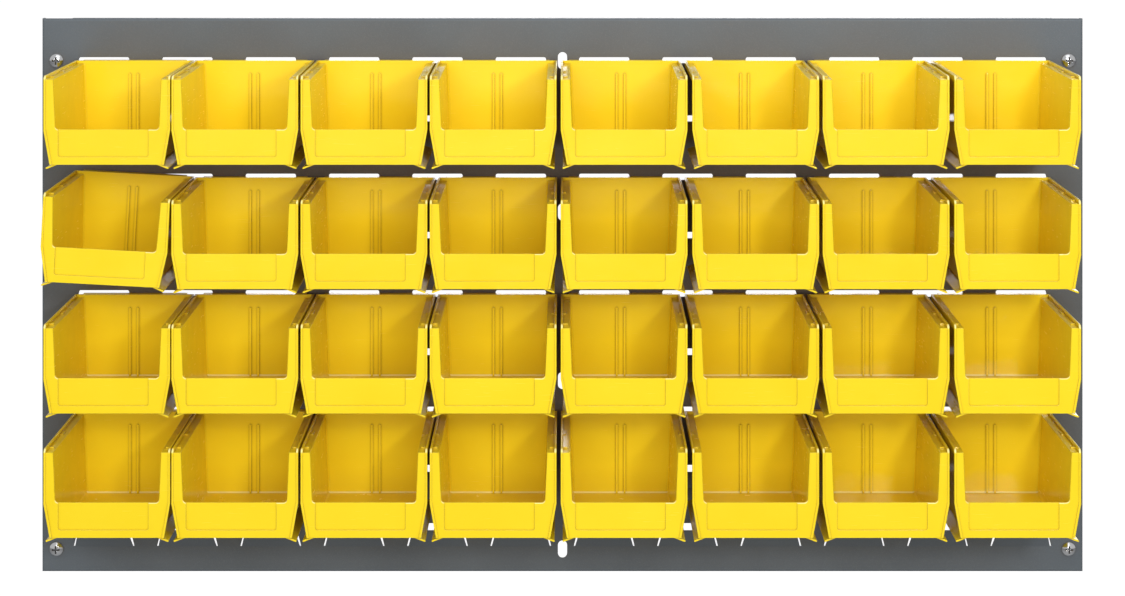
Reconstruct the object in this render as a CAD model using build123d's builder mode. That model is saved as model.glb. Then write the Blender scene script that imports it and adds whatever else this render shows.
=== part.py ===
"""Louvred steel wall panel carrying thirty-two hang-and-stack plastic bins.

Millimetres. X runs along the panel's width, Y points into the wall, Z is up.
The origin is the centre of the four corner screws, on the wall plane, so the
panel and everything hanging on it lie at negative Y.
"""
import os
from math import cos, radians, sin, sqrt, tan

from build123d import *

# ---- panel sheet -----------------------------------------------------------
PANEL_WIDTH = 908.0
PANEL_HEIGHT = 482.6
PANEL_DEPTH = 8.0  # wall to the sheet's front face: the depth of the turned-back edges
SHEET = 1.2
BEND_RADIUS = 2.2  # outside radius where the edges turn back
CORNER_NOTCH = 24.0  # length of top and bottom edge left flat beside each corner
NOTCH_DEPTH = 2.4  # into the panel from its top and bottom
NOTCH_SLIT = 0.8  # gap between a notch and the side edge's inner face
PANEL_RISE = 8.5  # panel centre above the origin
PANEL_TOP = PANEL_RISE + PANEL_HEIGHT / 2

# ---- louvres ---------------------------------------------------------------
LOUVRE_COLUMNS = 12
LOUVRE_ROWS = 9
LOUVRE_PITCH_X = 72.7
LOUVRE_PITCH_Z = 50.8
TOP_ROW_DROP = 53.8  # panel top down to the fold of the top row
OPENING_HEIGHT = 20.0
OPENING_BASE = 53.0
OPENING_TOP = 43.0
OPENING_CORNER = 1.5  # radius of an opening's two upper corners
TONGUE_LENGTH = 16.5
TONGUE_LEAN = 24.0  # degrees from vertical, towards the room
TONGUE_SIDE_GAP = 1.2
TONGUE_ROOT = 1.0  # how far a tongue's root reaches down into the sheet
TONGUE_BEND = 2.0

# ---- fixing holes, slots and screws ----------------------------------------
SCREW_SPACING_X = 883.0
SCREW_GROUPS = {  # spacing along Z, and the height of the group's middle
    "corner_screws": (426.0, 0.0),
    "middle_screws": (147.0, 7.5),
}
SCREW_HOLE_RADIUS = 3.6
SLOT_WIDTH = 8.0
SLOT_LENGTH = 15.0
SCREW_HEAD_RADIUS = 6.2
SCREW_HEAD_HEIGHT = 3.6
SCREW_HEAD_RIM = 0.7  # straight edge of the head below its dome
SCREW_SHANK_RADIUS = 2.4
SCREW_LENGTH = 32.0  # under the head to the point
SCREW_POINT = 5.0
RECESS_SPAN = 6.6
RECESS_WIDTH = 1.3
RECESS_DEPTH = 1.9

# ---- bin body --------------------------------------------------------------
BIN_LENGTH = 136.5  # back of the hook to the front face
BIN_HEIGHT = 76.2
BIN_WIDTH = 103.6
WALL = 2.0
WING_DROP = 3.6  # stacking wings below the floor's underside
FLOOR_HALF_WIDTH = 43.2  # outside of the side walls at the floor
LEDGE_HALF_WIDTH = 46.1  # outside of the side walls at the ledge
LEDGE_HEIGHT = BIN_HEIGHT - 3.0
LEDGE_THICKNESS = 1.8
RIM_THICKNESS = 1.8
RIM_CORNER = 4.0
RIM_ROUNDING = 0.6
FLOOR_EDGE_RADIUS = 4.0
REAR_INNER_RADIUS = 1.6  # where the rear wall meets the floor and sides inside

# ---- bin front -------------------------------------------------------------
LIP_HEIGHT = 28.6  # above the floor's underside
FRONT_THICKNESS = 2.2
FRONT_FOOT_HALF_WIDTH = 46.7
MOUTH_FOOT_HALF_WIDTH = 42.4
MOUTH_TOP_HALF_WIDTH = 44.1
MOUTH_CORNER = 3.0
BEAD_WIDTH = 1.8
BEAD_RISE = 0.7
LABEL_LEFT = -40.0
LABEL_RIGHT = 34.0
LABEL_MARGIN = 6.2  # below the label recess
LABEL_DEPTH = 0.8
LABEL_CORNER = 2.0
MOUTH_ROUNDING = 0.9  # edges of the lip's top and of the flanges

# ---- bin hook, wings, ribs and ledge stops ---------------------------------
HOOK_REACH = 6.7  # behind the rear wall
HOOK_HALF_WIDTH = 45.0
HOOK_TOP = 2.0
HOOK_LENGTH = 9.8
HOOK_ROOT_THICKNESS = 2.6
HOOK_TIP_THICKNESS = 1.4
WING_TIP_HALF_WIDTH = 49.6
WING_THICKNESS = 1.3
WING_REAR_INSET = 12.0
RIB_SPACING = 6.8
RIB_WIDTH = 1.6
RIB_RISE = 1.8
RIB_TOP = 11.0  # below the rim
STOP_DEPTH = 2.0
STOP_HEIGHT = 1.2
STOP_FROM_FRONT = 15.0
PAD_LENGTH = 12.0
PAD_WIDTH = 3.2
PAD_HEIGHT = 0.7
PAD_FROM_FRONT = 64.0

# ---- how the bins hang -----------------------------------------------------
HOOK_GAP = 0.45  # hook's underside to a tongue's tip
WALL_GAP = 0.5  # hook to the sheet, and rear wall to the tongues
BIN_COLUMNS = (-372.0, -267.5, -162.0, -56.5, 50.5, 158.0, 264.5, 372.0)
BIN_ROWS = 4
BIN_ROW_STEP = 2 * LOUVRE_PITCH_Z
SKEWED_BIN = (2, 1)  # row and column of the bin that hangs crooked
SKEW_ANGLE = 3.0  # degrees, its left side higher
SKEW_LIFT = 3.4

LEAN = radians(TONGUE_LEAN)
TONGUE_RISE = TONGUE_LENGTH * cos(LEAN) + SHEET * sin(LEAN)
TONGUE_PROJECTION = TONGUE_LENGTH * sin(LEAN)
TOP_FOLD = PANEL_TOP - TOP_ROW_DROP
BODY_LENGTH = BIN_LENGTH - HOOK_REACH
FRONT_FACE = BODY_LENGTH - BEAD_RISE  # rear wall to the face of the lip and flanges
PLATE_REAR = FRONT_FACE - FRONT_THICKNESS
LIP_TOP = WING_DROP + LIP_HEIGHT
HALF_WIDTH = BIN_WIDTH / 2
REAR_WALL_Y = -PANEL_DEPTH - WALL_GAP - HOOK_REACH
RIM_ABOVE_FOLD = TONGUE_RISE + HOOK_GAP + HOOK_TOP

os.makedirs("parts", exist_ok=True)


def save(part, name):
    """Label a piece and write its STEP file."""
    part.label = name
    export_step(part, f"parts/{name}.step")


def mirrored(half_profile):
    """Points of a shape that is the same left and right, given its right half."""
    return half_profile + [(-x, y) for x, y in reversed(half_profile)]


# ---- one louvre tongue, flat on XY: Y up the sheet, Z towards the room, fold at the origin ----
tongue_tip = (TONGUE_LENGTH * cos(LEAN), TONGUE_PROJECTION)
tongue_tip_back = (TONGUE_RISE, TONGUE_PROJECTION - SHEET * cos(LEAN))
fold_back = SHEET * (sin(LEAN) - tan(LEAN / 2) * cos(LEAN))
opening_slope = (OPENING_BASE - OPENING_TOP) / 2 / OPENING_HEIGHT
tongue_half_base = OPENING_BASE / 2 - TONGUE_SIDE_GAP
tongue_half_tip = tongue_half_base - opening_slope * TONGUE_LENGTH

with BuildPart() as louvre_tongue:
    with BuildSketch(Plane.YZ):
        Polygon(
            (-TONGUE_ROOT, -SHEET),
            (-TONGUE_ROOT, 0),
            (0, 0),
            tongue_tip,
            tongue_tip_back,
            (fold_back, -SHEET),
            align=None,
        )
    extrude(amount=tongue_half_base, both=True)
    fold_edges = louvre_tongue.edges().filter_by(Axis.X).sort_by(lambda edge: abs(edge.center().Y))[0:2]
    fillet(fold_edges, radius=TONGUE_BEND)
    with BuildSketch(Plane.XY.offset(-SHEET)):
        Polygon(
            *mirrored(
                [
                    (tongue_half_base, -TONGUE_ROOT),
                    (tongue_half_base, 0),
                    (tongue_half_tip, TONGUE_RISE),
                ]
            ),
            align=None,
        )
    extrude(amount=SHEET + TONGUE_PROJECTION, mode=Mode.INTERSECT)

# ---- one louvre opening, its base on the fold -------------------------------
with BuildSketch() as louvre_opening:
    Polygon(*mirrored([(OPENING_BASE / 2, 0), (OPENING_TOP / 2, OPENING_HEIGHT)]), align=None)
    fillet(louvre_opening.vertices().group_by(Axis.Y)[-1], radius=OPENING_CORNER)

# ---- the pressed sheet: turned-back edges, openings, slots and holes --------
sheet_front = Plane.XZ.offset(PANEL_DEPTH)
louvre_folds = [
    (LOUVRE_PITCH_X * (column - (LOUVRE_COLUMNS - 1) / 2), TOP_FOLD - LOUVRE_PITCH_Z * row)
    for column in range(LOUVRE_COLUMNS)
    for row in range(LOUVRE_ROWS)
]

with BuildPart(sheet_front) as louvre_tongues:
    with Locations(*louvre_folds):
        add(louvre_tongue.part)

with BuildPart() as louvred_panel:
    with BuildSketch(Plane.XZ):
        with Locations((0, PANEL_RISE)):
            Rectangle(PANEL_WIDTH, PANEL_HEIGHT)
    extrude(amount=PANEL_DEPTH)
    fillet(louvred_panel.faces().sort_by(Axis.Y)[0].edges(), radius=BEND_RADIUS)
    offset(amount=-SHEET, openings=louvred_panel.faces().sort_by(Axis.Y)[-1])

    # corner notches in the top and bottom edges
    notch_middle = PANEL_WIDTH / 2 - SHEET - NOTCH_SLIT - CORNER_NOTCH / 2
    with BuildSketch(Plane.XZ):
        with Locations((0, PANEL_RISE)):
            with GridLocations(2 * notch_middle, PANEL_HEIGHT, 2, 2):
                Rectangle(CORNER_NOTCH, 2 * NOTCH_DEPTH)
    extrude(amount=PANEL_DEPTH - BEND_RADIUS, mode=Mode.SUBTRACT)

    # louvre openings, screw holes and centre slots
    with BuildSketch(sheet_front):
        with Locations(*louvre_folds):
            add(louvre_opening.sketch)
        for spacing, rise in SCREW_GROUPS.values():
            with Locations((0, rise)):
                with GridLocations(SCREW_SPACING_X, spacing, 2, 2):
                    Circle(SCREW_HOLE_RADIUS)
                with GridLocations(0, spacing, 1, 2):
                    SlotOverall(SLOT_LENGTH, SLOT_WIDTH, rotation=90)
    extrude(amount=-2 * SHEET, mode=Mode.SUBTRACT)

    add(louvre_tongues.part)
save(louvred_panel.part, "louvred_panel")

# ---- one wall screw, its seat at the origin and its head up -----------------
dome_rise = SCREW_HEAD_HEIGHT - SCREW_HEAD_RIM
dome_radius = (SCREW_HEAD_RADIUS**2 + dome_rise**2) / (2 * dome_rise)
dome_shoulder = (
    SCREW_HEAD_RADIUS / 2,
    SCREW_HEAD_HEIGHT - dome_radius + sqrt(dome_radius**2 - (SCREW_HEAD_RADIUS / 2) ** 2),
)
with BuildPart() as wall_screw:
    with BuildSketch(Plane.XZ):
        with BuildLine():
            Polyline(
                (0, SCREW_HEAD_HEIGHT),
                (0, -SCREW_LENGTH),
                (SCREW_SHANK_RADIUS, SCREW_POINT - SCREW_LENGTH),
                (SCREW_SHANK_RADIUS, 0),
                (SCREW_HEAD_RADIUS, 0),
                (SCREW_HEAD_RADIUS, SCREW_HEAD_RIM),
            )
            ThreePointArc(
                (SCREW_HEAD_RADIUS, SCREW_HEAD_RIM),
                dome_shoulder,
                (0, SCREW_HEAD_HEIGHT),
            )
        make_face()
    revolve(axis=Axis.Z)
    with BuildSketch(Plane.XY.offset(SCREW_HEAD_HEIGHT)):
        Rectangle(RECESS_SPAN, RECESS_WIDTH)
        Rectangle(RECESS_WIDTH, RECESS_SPAN)
    extrude(amount=-RECESS_DEPTH, mode=Mode.SUBTRACT)

for group, (spacing, rise) in SCREW_GROUPS.items():
    with BuildPart(sheet_front) as screws:
        with Locations((0, rise)):
            with GridLocations(SCREW_SPACING_X, spacing, 2, 2):
                add(wall_screw.part)
    save(screws.part, group)

# ---- one bin: rear wall outside at Y 0, front face at -BODY_LENGTH, wing tips at Z 0 ----
mouth_slope = (MOUTH_TOP_HALF_WIDTH - MOUTH_FOOT_HALF_WIDTH) / (LEDGE_HEIGHT - LIP_TOP)
ledge_middle = (LEDGE_HALF_WIDTH + HALF_WIDTH) / 2
ledge_width = HALF_WIDTH - LEDGE_HALF_WIDTH

# the room inside the tub, up to just above the ledges
with BuildPart() as tub_inside:
    with BuildSketch(Plane.XZ.offset(WALL)) as inside_profile:
        Polygon(
            *mirrored(
                [
                    (FLOOR_HALF_WIDTH - WALL, WING_DROP + WALL),
                    (LEDGE_HALF_WIDTH - WALL, LEDGE_HEIGHT + WALL),
                ]
            ),
            align=None,
        )
        fillet(inside_profile.vertices().group_by(Axis.Y)[0], radius=FLOOR_EDGE_RADIUS - WALL)
    extrude(amount=BODY_LENGTH)
    rear_outline = tub_inside.faces().sort_by(Axis.Y)[-1].edges().sort_by(Axis.Z)[:-1]
    fillet(rear_outline, radius=REAR_INNER_RADIUS)

# the rim that stands on a ledge's outer edge and turns down along the front
with BuildPart() as rim:
    with BuildSketch(Plane.YZ) as rim_profile:
        Polygon(
            (0, LEDGE_HEIGHT - LEDGE_THICKNESS),
            (0, BIN_HEIGHT),
            (-BODY_LENGTH, BIN_HEIGHT),
            (-BODY_LENGTH, LIP_TOP),
            (-PLATE_REAR, LIP_TOP),
            (-PLATE_REAR, LEDGE_HEIGHT - LEDGE_THICKNESS),
            align=None,
        )
        fillet(rim_profile.vertices().sort_by(Axis.Y)[-2:].sort_by(Axis.X)[0], radius=RIM_CORNER)
    extrude(amount=RIM_THICKNESS / 2, both=True)
    rim_crest = rim.edges().filter_by(
        lambda edge: abs(edge.center().X) > RIM_THICKNESS / 4
        and edge.center().Y < -WALL
        and (edge.center().Z > LEDGE_HEIGHT or edge.center().Y < -FRONT_FACE)
    )
    fillet(rim_crest, radius=RIM_ROUNDING)

# the mouth's outline, up to just above the ledges
with BuildSketch() as mouth:
    Polygon(
        *mirrored(
            [
                (MOUTH_FOOT_HALF_WIDTH, LIP_TOP),
                (MOUTH_TOP_HALF_WIDTH + mouth_slope * WALL, LEDGE_HEIGHT + WALL),
            ]
        ),
        align=None,
    )
    fillet(mouth.vertices().group_by(Axis.Y)[0], radius=MOUTH_CORNER)

# front plate: the lip and the two forward-facing flanges beside the mouth
with BuildPart() as front_plate:
    with BuildSketch(Plane.XZ.offset(PLATE_REAR)):
        Polygon(
            *mirrored(
                [
                    (FRONT_FOOT_HALF_WIDTH, WING_DROP),
                    (HALF_WIDTH, LIP_TOP),
                    (HALF_WIDTH, LEDGE_HEIGHT),
                ]
            ),
            align=None,
        )
        add(mouth.sketch, mode=Mode.SUBTRACT)
    extrude(amount=FRONT_THICKNESS)
    front_edges = front_plate.faces().sort_by(Axis.Y)[0].edges()
    mouth_edges = front_edges.filter_by_position(
        Axis.X, -MOUTH_TOP_HALF_WIDTH, MOUTH_TOP_HALF_WIDTH
    ).filter_by_position(Axis.Z, LIP_TOP - MOUTH_ROUNDING, LEDGE_HEIGHT)
    fillet(mouth_edges, radius=MOUTH_ROUNDING)

with BuildPart() as hanging_bin:
    # tub: tapered side walls, floor and rear wall
    with BuildSketch(Plane.XZ) as tub_outside:
        Polygon(
            *mirrored([(FLOOR_HALF_WIDTH, WING_DROP), (LEDGE_HALF_WIDTH, LEDGE_HEIGHT)]),
            align=None,
        )
        fillet(tub_outside.vertices().group_by(Axis.Y)[0], radius=FLOOR_EDGE_RADIUS)
    extrude(amount=PLATE_REAR + FRONT_THICKNESS / 2)
    add(tub_inside.part, mode=Mode.SUBTRACT)

    # front plate
    add(front_plate.part)

    # raised bead along the outer edge of the front, below the lip's top
    for side in (-1, 1):
        with BuildSketch(Plane.XZ.offset(PLATE_REAR)):
            Polygon(
                (side * (FRONT_FOOT_HALF_WIDTH - BEAD_WIDTH), WING_DROP),
                (side * FRONT_FOOT_HALF_WIDTH, WING_DROP),
                (side * HALF_WIDTH, LIP_TOP),
                (side * (HALF_WIDTH - BEAD_WIDTH), LIP_TOP),
                align=None,
            )
        extrude(amount=FRONT_THICKNESS + BEAD_RISE)

    # ledges along the side walls
    ledge_underside = LEDGE_HEIGHT - LEDGE_THICKNESS
    with BuildSketch(Plane.XZ):
        with Locations((0, LEDGE_HEIGHT - LEDGE_THICKNESS / 2)):
            with GridLocations(2 * ledge_middle - WALL, 0, 2, 1):
                Rectangle(ledge_width + WALL, LEDGE_THICKNESS)
    extrude(amount=PLATE_REAR + FRONT_THICKNESS / 2)

    # rims
    with GridLocations(BIN_WIDTH - RIM_THICKNESS, 0, 2, 1):
        add(rim.part)

    # rear wall above the ledges
    with BuildSketch(Plane.XZ):
        with Locations((0, (ledge_underside + BIN_HEIGHT) / 2)):
            Rectangle(BIN_WIDTH, BIN_HEIGHT - ledge_underside)
    extrude(amount=WALL)

    # hook behind the rear wall, open downwards
    with BuildSketch(Plane.YZ):
        Polygon(
            (-WALL, BIN_HEIGHT),
            (HOOK_REACH, BIN_HEIGHT),
            (HOOK_REACH, BIN_HEIGHT - HOOK_LENGTH),
            (HOOK_REACH - HOOK_TIP_THICKNESS, BIN_HEIGHT - HOOK_LENGTH),
            (HOOK_REACH - HOOK_ROOT_THICKNESS, BIN_HEIGHT - HOOK_TOP),
            (-WALL, BIN_HEIGHT - HOOK_TOP),
            align=None,
        )
    extrude(amount=HOOK_HALF_WIDTH, both=True)

    # stacking wings flaring out under the floor's side edges
    for side in (-1, 1):
        with BuildSketch(Plane.XZ.offset(WING_REAR_INSET)):
            with BuildLine():
                Line(
                    (side * (FLOOR_HALF_WIDTH - FLOOR_EDGE_RADIUS), WING_DROP + WALL / 2),
                    (side * WING_TIP_HALF_WIDTH, WING_THICKNESS / 2),
                )
                offset(amount=WING_THICKNESS / 2, side=Side.BOTH)
            make_face()
        extrude(amount=PLATE_REAR + FRONT_THICKNESS / 2 - WING_REAR_INSET)

    # two divider ribs on the inside of the rear wall
    with BuildSketch(Plane.XZ.offset(WALL / 2)):
        rib_height = BIN_HEIGHT - RIB_TOP - WING_DROP - WALL / 2
        with Locations((0, WING_DROP + WALL / 2 + rib_height / 2)):
            with GridLocations(RIB_SPACING, 0, 2, 1):
                Rectangle(RIB_WIDTH, rib_height)
    extrude(amount=WALL / 2 + RIB_RISE)

    # a stop and a pad on each ledge, which keep a stacked bin from sliding
    with BuildSketch(Plane.XY.offset(LEDGE_HEIGHT - LEDGE_THICKNESS / 2)):
        with Locations((0, -BODY_LENGTH + STOP_FROM_FRONT)):
            with GridLocations(2 * ledge_middle, 0, 2, 1):
                Rectangle(ledge_width, STOP_DEPTH)
    extrude(amount=LEDGE_THICKNESS / 2 + STOP_HEIGHT)
    with BuildSketch(Plane.XY.offset(LEDGE_HEIGHT - LEDGE_THICKNESS / 2)):
        with Locations((0, -BODY_LENGTH + PAD_FROM_FRONT)):
            with GridLocations(2 * ledge_middle, 0, 2, 1):
                Rectangle(PAD_WIDTH, PAD_LENGTH)
    extrude(amount=LEDGE_THICKNESS / 2 + PAD_HEIGHT)

    # shallow label recess, open at the lip's top edge
    with BuildSketch(Plane.XZ.offset(FRONT_FACE - LABEL_DEPTH)) as label:
        Polygon(
            (LABEL_LEFT, WING_DROP + LABEL_MARGIN),
            (LABEL_RIGHT, WING_DROP + LABEL_MARGIN),
            (LABEL_RIGHT, LIP_TOP + WALL),
            (LABEL_LEFT, LIP_TOP + WALL),
            align=None,
        )
        fillet(label.vertices().group_by(Axis.Y)[0], radius=LABEL_CORNER)
    extrude(amount=LABEL_DEPTH, mode=Mode.SUBTRACT)

# ---- hang a copy of the bin in every place ---------------------------------
for row in range(1, BIN_ROWS + 1):
    rim_height = TOP_FOLD - (row - 1) * BIN_ROW_STEP + RIM_ABOVE_FOLD
    for column, bin_x in enumerate(BIN_COLUMNS, start=1):
        rim_middle = Location((bin_x, REAR_WALL_Y, rim_height))
        if (row, column) == SKEWED_BIN:
            rim_middle = rim_middle * Location((0, 0, SKEW_LIFT), (0, SKEW_ANGLE, 0))
        hung = rim_middle * Location((0, 0, -BIN_HEIGHT))
        save(hanging_bin.part.moved(hung), f"bin_r{row}_c{column}")
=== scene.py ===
"""Looks for the louvred wall panel with its thirty-two hanging bins.

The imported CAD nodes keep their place, and all but the screws keep their exact shape. This
script gives them materials, rounds the screws' edges and adds their threads, and sets up
the floor, the lights and the camera. Lengths are in metres, in the frame's axes: +X right,
+Y into the wall, +Z up.
"""

from math import cos, pi, sin

import bmesh
import bpy
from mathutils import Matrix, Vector


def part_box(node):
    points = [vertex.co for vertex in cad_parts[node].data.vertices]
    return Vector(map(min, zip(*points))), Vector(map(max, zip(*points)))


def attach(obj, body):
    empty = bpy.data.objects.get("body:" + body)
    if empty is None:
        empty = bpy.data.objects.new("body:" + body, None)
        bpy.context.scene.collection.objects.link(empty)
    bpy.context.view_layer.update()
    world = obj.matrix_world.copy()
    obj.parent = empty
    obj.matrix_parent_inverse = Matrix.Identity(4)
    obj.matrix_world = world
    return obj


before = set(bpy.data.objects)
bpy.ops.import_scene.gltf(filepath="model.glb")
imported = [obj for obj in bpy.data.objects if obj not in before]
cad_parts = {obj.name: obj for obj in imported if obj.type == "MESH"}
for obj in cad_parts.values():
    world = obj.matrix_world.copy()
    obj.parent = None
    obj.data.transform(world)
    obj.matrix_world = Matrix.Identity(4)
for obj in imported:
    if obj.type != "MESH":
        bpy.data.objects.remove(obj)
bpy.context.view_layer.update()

# ---- edge rounding -----------------------------------------------------------
BIN_EDGE = 0.0005  # shading only
PANEL_EDGE = 0.0003  # shading only
SCREW_EDGE = 0.00012
WELD_DISTANCE = 0.00001
EDGE_ANGLE = 0.5  # radians; a screw's edges sharper than this get rounded
EDGE_SEGMENTS = 2
ROUNDING_SAMPLES = 4

# ---- masks -------------------------------------------------------------------
FACE_COSINE = 0.995  # rounded normal against the face's own: plain face from here up
EDGE_COSINE = 0.88  # and full edge from here down
BEND_START = 0.15  # the lesser of a normal's upward and forward parts, where the painted highlight starts
BEND_FULL = 0.45
CORNER_SAMPLES = 6

# ---- bin plastic ---------------------------------------------------------------
DEEP_YELLOW = (0.91, 0.655, 0.015)
LIGHT_YELLOW = (0.94, 0.700, 0.020)
# paler edges: partly worn plastic, partly a painted highlight
WEAR_AND_HIGHLIGHT_YELLOW = (1.0, 0.88, 0.16)
# darker corners: partly grime, partly painted shade
GRIME_AND_SHADE_YELLOW = (0.50, 0.30, 0.004)
# painted highlight on bends that face up and forward
PAINTED_HIGHLIGHT_YELLOW = (1.0, 0.93, 0.45)
FLOW_SHARE = 0.7  # of the shade comes from the pattern within a bin
BIN_SHARE = 0.3  # and this much from which bin it is
BIN_WEAR_AND_HIGHLIGHT = 0.5
BIN_GRIME_AND_SHADE = 0.75
BIN_PAINTED_HIGHLIGHT = 0.7
SCUFF_SCALE = (60, 60, 900)  # finest upwards, so scuffs lie level

# ---- panel paint ---------------------------------------------------------------
DARK_GREY = (0.096, 0.114, 0.131)
PALE_GREY = (0.121, 0.142, 0.162)
SHADED_BROWN = (0.105, 0.072, 0.042)
SPECK_GREY = (0.19, 0.21, 0.23)
WORN_GREY = (0.3, 0.31, 0.32)
BARE_STEEL = (0.45, 0.44, 0.42)
PANEL_SHADE = 0.8
PANEL_SPECKS = 0.35
PANEL_WEAR = 0.45

# ---- screw plating -------------------------------------------------------------
BRIGHT_PLATE = (0.84, 0.85, 0.87)
RECESS_DARK = (0.10, 0.09, 0.08)

# ---- screws and their threads ----------------------------------------------
HEAD_RADIUS = 0.0062
HEAD_HEIGHT = 0.0036
SHANK_RADIUS = 0.0024
POINT_LENGTH = 0.005
THREAD_PITCH = 0.0021
THREAD_HEIGHT = 0.0005
THREAD_HALF_WIDTH = 0.0006
THREAD_SINK = 0.0002  # how far the ridge's foot reaches into the shank
THREAD_START = 0.004  # behind the head's seat
THREAD_END = 0.001  # before the point's tip
THREAD_RUNOUT = 0.003  # length over which the ridge fades at each end
THREAD_STEPS = 24  # points per turn

# ---- camera: level with a lens shift, as a view camera would be set ---------
EYE_DISTANCE = 2.143  # from the sheet's front face
EYE_ABOVE_PANEL = 0.174
EYE_RIGHT = 0.003
PICTURE_WIDTH = 0.9813  # what the picture spans at the sheet
PICTURE_DROP = 0.0025  # picture centre below the panel's centre
SENSOR_WIDTH = 36.0
SIGHT_RANGE = 100

# ---- floor and backdrop ------------------------------------------------------
FLOOR_BELOW_PANEL = 1.2
FLOOR_RADIUS = 30.0
FLOOR_SIDES = 96
FLOOR_GLOW = 0.6
FLOOR_DULL = (0.86, 0.86, 0.86)
FLOOR_BRIGHT = (0.9, 0.9, 0.9)
FLOOR_UNSEEN = (0.3, 0.3, 0.3)  # what light that bounces meets
FLOOR_LIGHT = (1.0, 1.0, 1.0, 1.0)
WORLD_COLOUR = (1.0, 0.995, 0.985, 1.0)
WORLD_LIGHT = 0.5


# ---- node trees --------------------------------------------------------------
class Shader:
    """The node tree of a material or a world, built by short calls."""

    def __init__(self, owner):
        self.owner = owner
        self.owner.use_nodes = True
        self.tree = self.owner.node_tree
        self.tree.nodes.clear()

    def add(self, kind, inputs, **settings):
        """Adds a node; inputs maps a socket's name or number to a value or an output."""
        node = self.tree.nodes.new("ShaderNode" + kind)
        for name, value in settings.items():
            setattr(node, name, value)
        for name, value in inputs.items():
            if isinstance(value, bpy.types.NodeSocket):
                self.tree.links.new(value, node.inputs[name])
            else:
                node.inputs[name].default_value = value
        return node

    def noise(self, where, scale, detail=3.0):
        """A noise texture's grey value, between 0 and 1; scale counts its cells per unit of where."""
        inputs = {"Vector": where, "Scale": scale, "Detail": detail}
        return self.add("TexNoise", inputs).outputs["Fac"]

    def math(self, operation, first, second):
        """One arithmetic step on two numbers."""
        return self.add("Math", {0: first, 1: second}, operation=operation).outputs[0]

    def remap(self, value, low, high, to_low=0.0, to_high=1.0):
        """Stretches the range low..high to to_low..to_high and clamps outside it."""
        inputs = {"Value": value, 1: low, 2: high, 3: to_low, 4: to_high}
        return self.add("MapRange", inputs).outputs["Result"]

    def blend(self, amount, first, second):
        """The first colour at amount 0 and the second at amount 1."""
        mix = self.add("Mix", {"Factor": amount}, data_type="RGBA")
        for socket, value in ((mix.inputs[6], first), (mix.inputs[7], second)):
            if isinstance(value, bpy.types.NodeSocket):
                self.tree.links.new(value, socket)
            else:
                socket.default_value = (*value, 1.0)
        return mix.outputs[2]

    def bump(self, height, distance, normal=None):
        """A normal disturbed by a height map; distance is the height in metres."""
        inputs = {"Height": height, "Distance": distance}
        if normal is not None:
            inputs["Normal"] = normal
        return self.add("Bump", inputs).outputs["Normal"]

    def place(self):
        """Coordinates in metres that stay with the piece when it moves."""
        return self.add("TexCoord", {}).outputs["Object"]

    def rounded(self, radius):
        """The surface's normal as it would be with every edge rounded to the radius."""
        return self.add("Bevel", {"Radius": radius}, samples=ROUNDING_SAMPLES).outputs[0]

    def edges(self, rounded):
        """0 on faces, 1 along edges, where the rounded normal turns away from the face's own."""
        face = self.add("NewGeometry", {}).outputs["Normal"]
        along = self.add("VectorMath", {0: rounded, 1: face}, operation="DOT_PRODUCT")
        return self.remap(along.outputs["Value"], FACE_COSINE, EDGE_COSINE)

    def bends(self):
        """1 on rounded bends that face both up and forward, 0 on walls, floors and fronts."""
        normal = self.add("NewGeometry", {}).outputs["Normal"]
        axes = self.add("SeparateXYZ", {"Vector": normal}).outputs
        least = self.math("MINIMUM", axes["Z"], self.math("MULTIPLY", axes["Y"], -1.0))
        return self.remap(least, BEND_START, BEND_FULL)

    def corners(self, reach, closed, open_to_light):
        """1 deep in corners and recesses no wider than reach, 0 on open surfaces."""
        occlusion = self.add("AmbientOcclusion", {"Distance": reach}, samples=CORNER_SAMPLES)
        return self.remap(occlusion.outputs["AO"], closed, open_to_light, to_low=1.0, to_high=0.0)

    def seen_by_camera(self):
        """1 for what the camera sees directly, 0 for light that bounces."""
        return self.add("LightPath", {}).outputs["Is Camera Ray"]

    def finish(self, surface, output="OutputMaterial"):
        """Connects the last shader node and returns the material or world."""
        self.add(output, {"Surface": surface.outputs[0]})
        return self.owner


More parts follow.
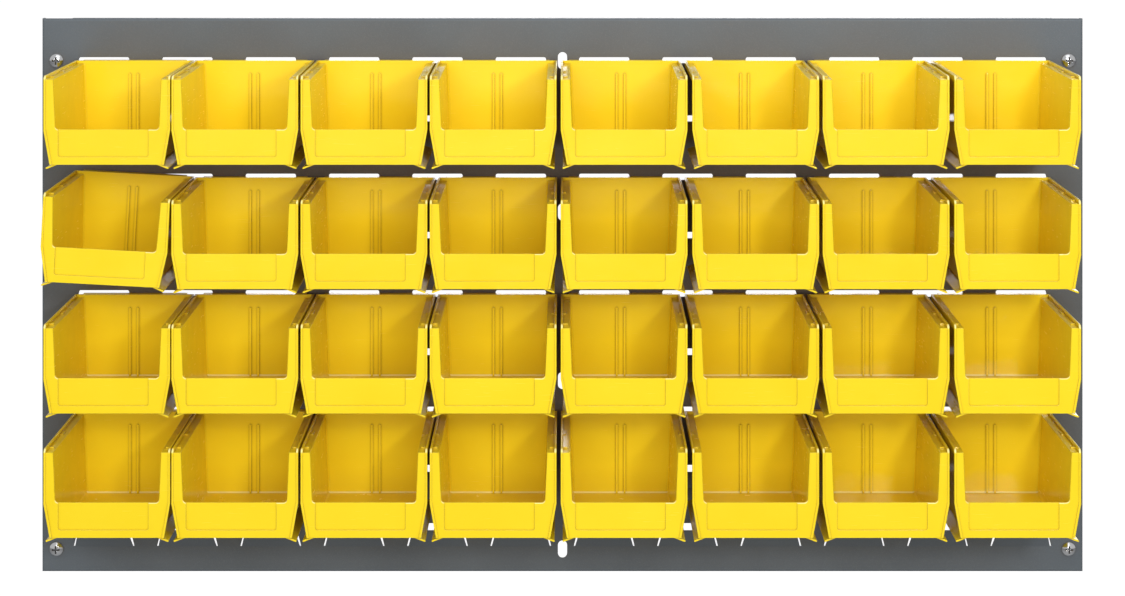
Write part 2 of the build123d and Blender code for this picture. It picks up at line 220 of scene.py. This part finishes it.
# ---- materials ---------------------------------------------------------------
def bin_plastic():
    """Yellow moulded polypropylene, semi-gloss and scuffed: worn edges with a painted highlight,
    painted highlights on bends, grime and painted shade in corners.
    """
    shader = Shader(bpy.data.materials.new("bin_plastic"))
    place = shader.place()
    which_bin = shader.add("ObjectInfo", {}).outputs["Random"]
    flow = shader.noise(place, scale=22.0)
    grain = shader.noise(place, scale=1500.0, detail=2.0)
    ripple = shader.noise(place, scale=45.0, detail=1.0)

    shade = shader.math("MULTIPLY", flow, FLOW_SHARE)
    shade = shader.math("ADD", shade, shader.math("MULTIPLY", which_bin, BIN_SHARE))
    colour = shader.blend(shader.remap(shade, low=0.25, high=0.75), DEEP_YELLOW, LIGHT_YELLOW)
    rounded = shader.rounded(BIN_EDGE)
    # Paler edges: partly worn plastic, partly a painted highlight along rims and lips.
    wear_and_highlight = shader.math("MULTIPLY", shader.edges(rounded), BIN_WEAR_AND_HIGHLIGHT)
    colour = shader.blend(wear_and_highlight, colour, WEAR_AND_HIGHLIGHT_YELLOW)
    # Painted shade and grime: a darker yellow deep in corners, steps and recesses.
    grime_and_shade = shader.corners(reach=0.0022, closed=0.5, open_to_light=0.92)
    colour = shader.blend(shader.math("MULTIPLY", grime_and_shade, BIN_GRIME_AND_SHADE), colour, GRIME_AND_SHADE_YELLOW)
    # Painted highlight: a pale yellow on bends that face up and forward.
    painted_highlight = shader.math("MULTIPLY", shader.bends(), BIN_PAINTED_HIGHLIGHT)
    colour = shader.blend(painted_highlight, colour, PAINTED_HIGHLIGHT_YELLOW)

    stretched = shader.add("Mapping", {"Vector": place, "Scale": SCUFF_SCALE}).outputs[0]
    scuffs = shader.remap(shader.noise(stretched, scale=1.0), low=0.62, high=0.75, to_high=0.12)
    unscuffed = shader.remap(flow, low=0.3, high=0.7, to_low=0.17, to_high=0.24)
    roughness = shader.math("ADD", unscuffed, scuffs)
    rippled = shader.bump(ripple, distance=0.0004, normal=rounded)
    normal = shader.bump(grain, distance=0.00002, normal=rippled)
    plastic = shader.add(
        "BsdfPrincipled",
        {
            "Base Color": colour,
            "Roughness": roughness,
            "IOR": 1.45,
            "Normal": normal,
        },
    )
    return shader.finish(plastic)


def panel_paint():
    """Grey powder coat over steel: orange peel, chipped edges, browner where bins shade it."""
    shader = Shader(bpy.data.materials.new("panel_paint"))
    place = shader.place()
    cloud = shader.noise(place, scale=9.0, detail=4.0)
    peel = shader.noise(place, scale=700.0, detail=2.0)
    chips = shader.noise(place, scale=260.0, detail=4.0)

    colour = shader.blend(shader.remap(cloud, low=0.3, high=0.7), DARK_GREY, PALE_GREY)
    shaded = shader.corners(reach=0.12, closed=0.25, open_to_light=0.95)
    colour = shader.blend(shader.math("MULTIPLY", shaded, PANEL_SHADE), colour, SHADED_BROWN)
    specks = shader.remap(shader.noise(place, scale=2200.0, detail=1.0), low=0.58, high=0.7)
    colour = shader.blend(shader.math("MULTIPLY", specks, PANEL_SPECKS), colour, SPECK_GREY)
    rounded = shader.rounded(PANEL_EDGE)
    edges = shader.edges(rounded)
    colour = shader.blend(shader.math("MULTIPLY", edges, PANEL_WEAR), colour, WORN_GREY)
    bare = shader.math("MULTIPLY", edges, shader.remap(chips, low=0.6, high=0.66))
    colour = shader.blend(bare, colour, BARE_STEEL)

    paint = shader.add(
        "BsdfPrincipled",
        {
            "Base Color": colour,
            "Metallic": bare,
            "Roughness": shader.remap(cloud, low=0.3, high=0.7, to_low=0.36, to_high=0.48),
            "Normal": shader.bump(peel, distance=0.00006, normal=rounded),
        },
    )
    return shader.finish(paint)


def screw_chrome():
    """Bright plated steel with fine swirl marks, darker down in the recess."""
    shader = Shader(bpy.data.materials.new("screw_chrome"))
    swirl = shader.noise(shader.place(), scale=3000.0)
    # Darker colour down in the recess.
    darker_in_recess = shader.corners(reach=0.0025, closed=0.35, open_to_light=0.8)
    colour = shader.blend(darker_in_recess, BRIGHT_PLATE, RECESS_DARK)
    chrome = shader.add(
        "BsdfPrincipled",
        {
            "Base Color": colour,
            "Metallic": 1.0,
            "Roughness": shader.remap(swirl, low=0.3, high=0.7, to_low=0.10, to_high=0.24),
            "Normal": shader.bump(swirl, distance=0.00001),
        },
    )
    return shader.finish(chrome)


def pale_floor():
    """Matt white studio floor, lit up for the camera, which bounces little light upwards."""
    shader = Shader(bpy.data.materials.new("pale_floor"))
    cloud = shader.noise(shader.place(), scale=0.8)
    white = shader.blend(cloud, FLOOR_DULL, FLOOR_BRIGHT)
    seen = shader.seen_by_camera()
    floor = shader.add(
        "BsdfPrincipled",
        {
            "Base Color": shader.blend(seen, FLOOR_UNSEEN, white),
            "Roughness": 0.7,
            "Emission Color": FLOOR_LIGHT,
            "Emission Strength": shader.math("MULTIPLY", seen, FLOOR_GLOW),
        },
    )
    return shader.finish(floor)


# ---- CAD nodes ---------------------------------------------------------------
def soften(node):
    """Welds a screw group's faces together and rounds its sharp edges, leaving its mesh alone."""
    weld = node.modifiers.new("weld", "WELD")
    weld.merge_threshold = WELD_DISTANCE
    bevel = node.modifiers.new("rounded_edges", "BEVEL")
    bevel.width = SCREW_EDGE
    bevel.segments = EDGE_SEGMENTS
    bevel.limit_method = "ANGLE"
    bevel.angle_limit = EDGE_ANGLE
    bevel.use_clamp_overlap = False
    bevel.harden_normals = True


def dress(node, material):
    """Puts one material in every slot of a node."""
    for slot in node.material_slots:
        slot.material = material


plastic = bin_plastic()
paint = panel_paint()
chrome = screw_chrome()
for name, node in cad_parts.items():
    if name.startswith("bin_"):
        dress(node, plastic)
    elif name == "louvred_panel":
        dress(node, paint)
    else:
        soften(node)
        dress(node, chrome)


# ---- screw threads -----------------------------------------------------------
def thread_ridge(shape, x, z, seat, tip):
    """One screw's ridge: a triangle swept along a helix that follows the shank and its point."""
    start = seat + THREAD_START
    end = tip - THREAD_END
    steps = round((end - start) / THREAD_PITCH * THREAD_STEPS)
    rings = []
    for step in range(steps + 1):
        y = start + (end - start) * step / steps
        angle = 2 * pi * step / THREAD_STEPS
        fade = min(1.0, (y - start) / THREAD_RUNOUT, (end - y) / THREAD_RUNOUT)
        core = SHANK_RADIUS * min(1.0, (tip - y) / POINT_LENGTH)
        foot = core - THREAD_SINK
        crest = core + THREAD_HEIGHT * fade
        profile = ((foot, -THREAD_HALF_WIDTH), (crest, 0.0), (foot, THREAD_HALF_WIDTH))
        rings.append(
            [
                shape.verts.new((x + radius * cos(angle), y + shift, z + radius * sin(angle)))
                for radius, shift in profile
            ]
        )
    for ring, following in zip(rings, rings[1:]):
        for corner in range(3):
            after = (corner + 1) % 3
            shape.faces.new((ring[corner], ring[after], following[after], following[corner]))
    shape.faces.new(rings[0])
    shape.faces.new(rings[-1])


def make_threads(group, name):
    """The thread ridges of a group of four screws, as one piece."""
    low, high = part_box(group)
    shape = bmesh.new()
    for x in (low.x + HEAD_RADIUS, high.x - HEAD_RADIUS):
        for z in (low.z + HEAD_RADIUS, high.z - HEAD_RADIUS):
            thread_ridge(shape, x, z, low.y + HEAD_HEIGHT, high.y)
    bmesh.ops.recalc_face_normals(shape, faces=shape.faces)
    mesh = bpy.data.meshes.new(name)
    shape.to_mesh(mesh)
    shape.free()
    mesh.materials.append(chrome)
    threads = bpy.data.objects.new(name, mesh)
    bpy.context.scene.collection.objects.link(threads)
    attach(threads, "panel")


make_threads("corner_screws", "corner_screw_threads")
make_threads("middle_screws", "middle_screw_threads")

# ---- floor, light and camera ---------------------------------------------------
panel_low, panel_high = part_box("louvred_panel")
panel_middle = (panel_low + panel_high) / 2
sheet_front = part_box("corner_screws")[0].y + HEAD_HEIGHT


def make_floor():
    """A wide round floor below the panel."""
    mesh = bpy.data.meshes.new("floor")
    shape = bmesh.new()
    bmesh.ops.create_circle(shape, cap_ends=True, segments=FLOOR_SIDES, radius=FLOOR_RADIUS)
    shape.to_mesh(mesh)
    shape.free()
    floor = bpy.data.objects.new("floor", mesh)
    bpy.context.scene.collection.objects.link(floor)
    floor.location = (0, 0, panel_low.z - FLOOR_BELOW_PANEL)
    mesh.materials.append(pale_floor())


def make_world():
    """Even light from all round, which the camera sees as a white backdrop."""
    shader = Shader(bpy.data.worlds.new("studio"))
    strength = shader.remap(shader.seen_by_camera(), low=0.0, high=1.0, to_low=WORLD_LIGHT)
    light = shader.add("Background", {"Color": WORLD_COLOUR, "Strength": strength})
    bpy.context.scene.world = shader.finish(light, "OutputWorld")


def area_light(name, place, width, height, power, mirrored=True):
    """A soft light at place, turned towards the panel; mirrored says if gloss reflects it."""
    light = bpy.data.lights.new(name, "AREA")
    light.shape = "RECTANGLE"
    light.size = width
    light.size_y = height
    light.energy = power
    lamp = bpy.data.objects.new(name, light)
    bpy.context.scene.collection.objects.link(lamp)
    lamp.location = place
    lamp.visible_glossy = mirrored
    lamp.rotation_euler = (panel_middle - Vector(place)).to_track_quat("-Z", "Y").to_euler()


def make_camera():
    """A level camera above the panel's top. Its lens shift belongs to this view alone."""
    data = bpy.data.cameras.new("camera")
    camera = bpy.data.objects.new("camera", data)
    bpy.context.scene.collection.objects.link(camera)
    bpy.context.scene.camera = camera
    camera.location = (
        panel_middle.x + EYE_RIGHT,
        sheet_front - EYE_DISTANCE,
        panel_high.z + EYE_ABOVE_PANEL,
    )
    camera.rotation_euler = (pi / 2, 0, 0)
    data.sensor_width = SENSOR_WIDTH
    data.lens = SENSOR_WIDTH * EYE_DISTANCE / PICTURE_WIDTH
    drop = camera.location.z - panel_middle.z + PICTURE_DROP
    data.shift_x = -EYE_RIGHT / PICTURE_WIDTH
    drive_shift(camera, -drop / PICTURE_WIDTH)
    data.clip_end = SIGHT_RANGE


def drive_shift(camera, shift):
    """Gives the lens its upright shift while Euler angles turn the camera, else none.

    Read as a number, rotation_mode is 1 for XYZ Euler angles and 0 for a quaternion.
    """
    curve = camera.data.driver_add("shift_y")
    curve.driver.type = "SUM"
    mode = curve.driver.variables.new()
    mode.targets[0].id_type = "OBJECT"
    mode.targets[0].id = camera
    mode.targets[0].data_path = "rotation_mode"
    curve.modifiers[0].coefficients = (0.0, shift)


make_floor()
make_world()
area_light("key", (0.73, -2.35, 0.69), width=0.22, height=0.22, power=12.0)
area_light("overhead", (0.2, -1.6, 2.2), width=2.0, height=2.0, power=10.0)
area_light("strip", (0.0, -2.4, 1.2), width=2.6, height=0.1, power=8.0)
area_light("fill", (-0.1, -2.8, 0.45), width=1.6, height=1.6, power=37.0, mirrored=False)
area_light("rear", (0.4, 2.4, 0.8), width=2.2, height=2.2, power=38.0)
make_camera()
bpy.context.scene.view_settings.view_transform = "Standard"
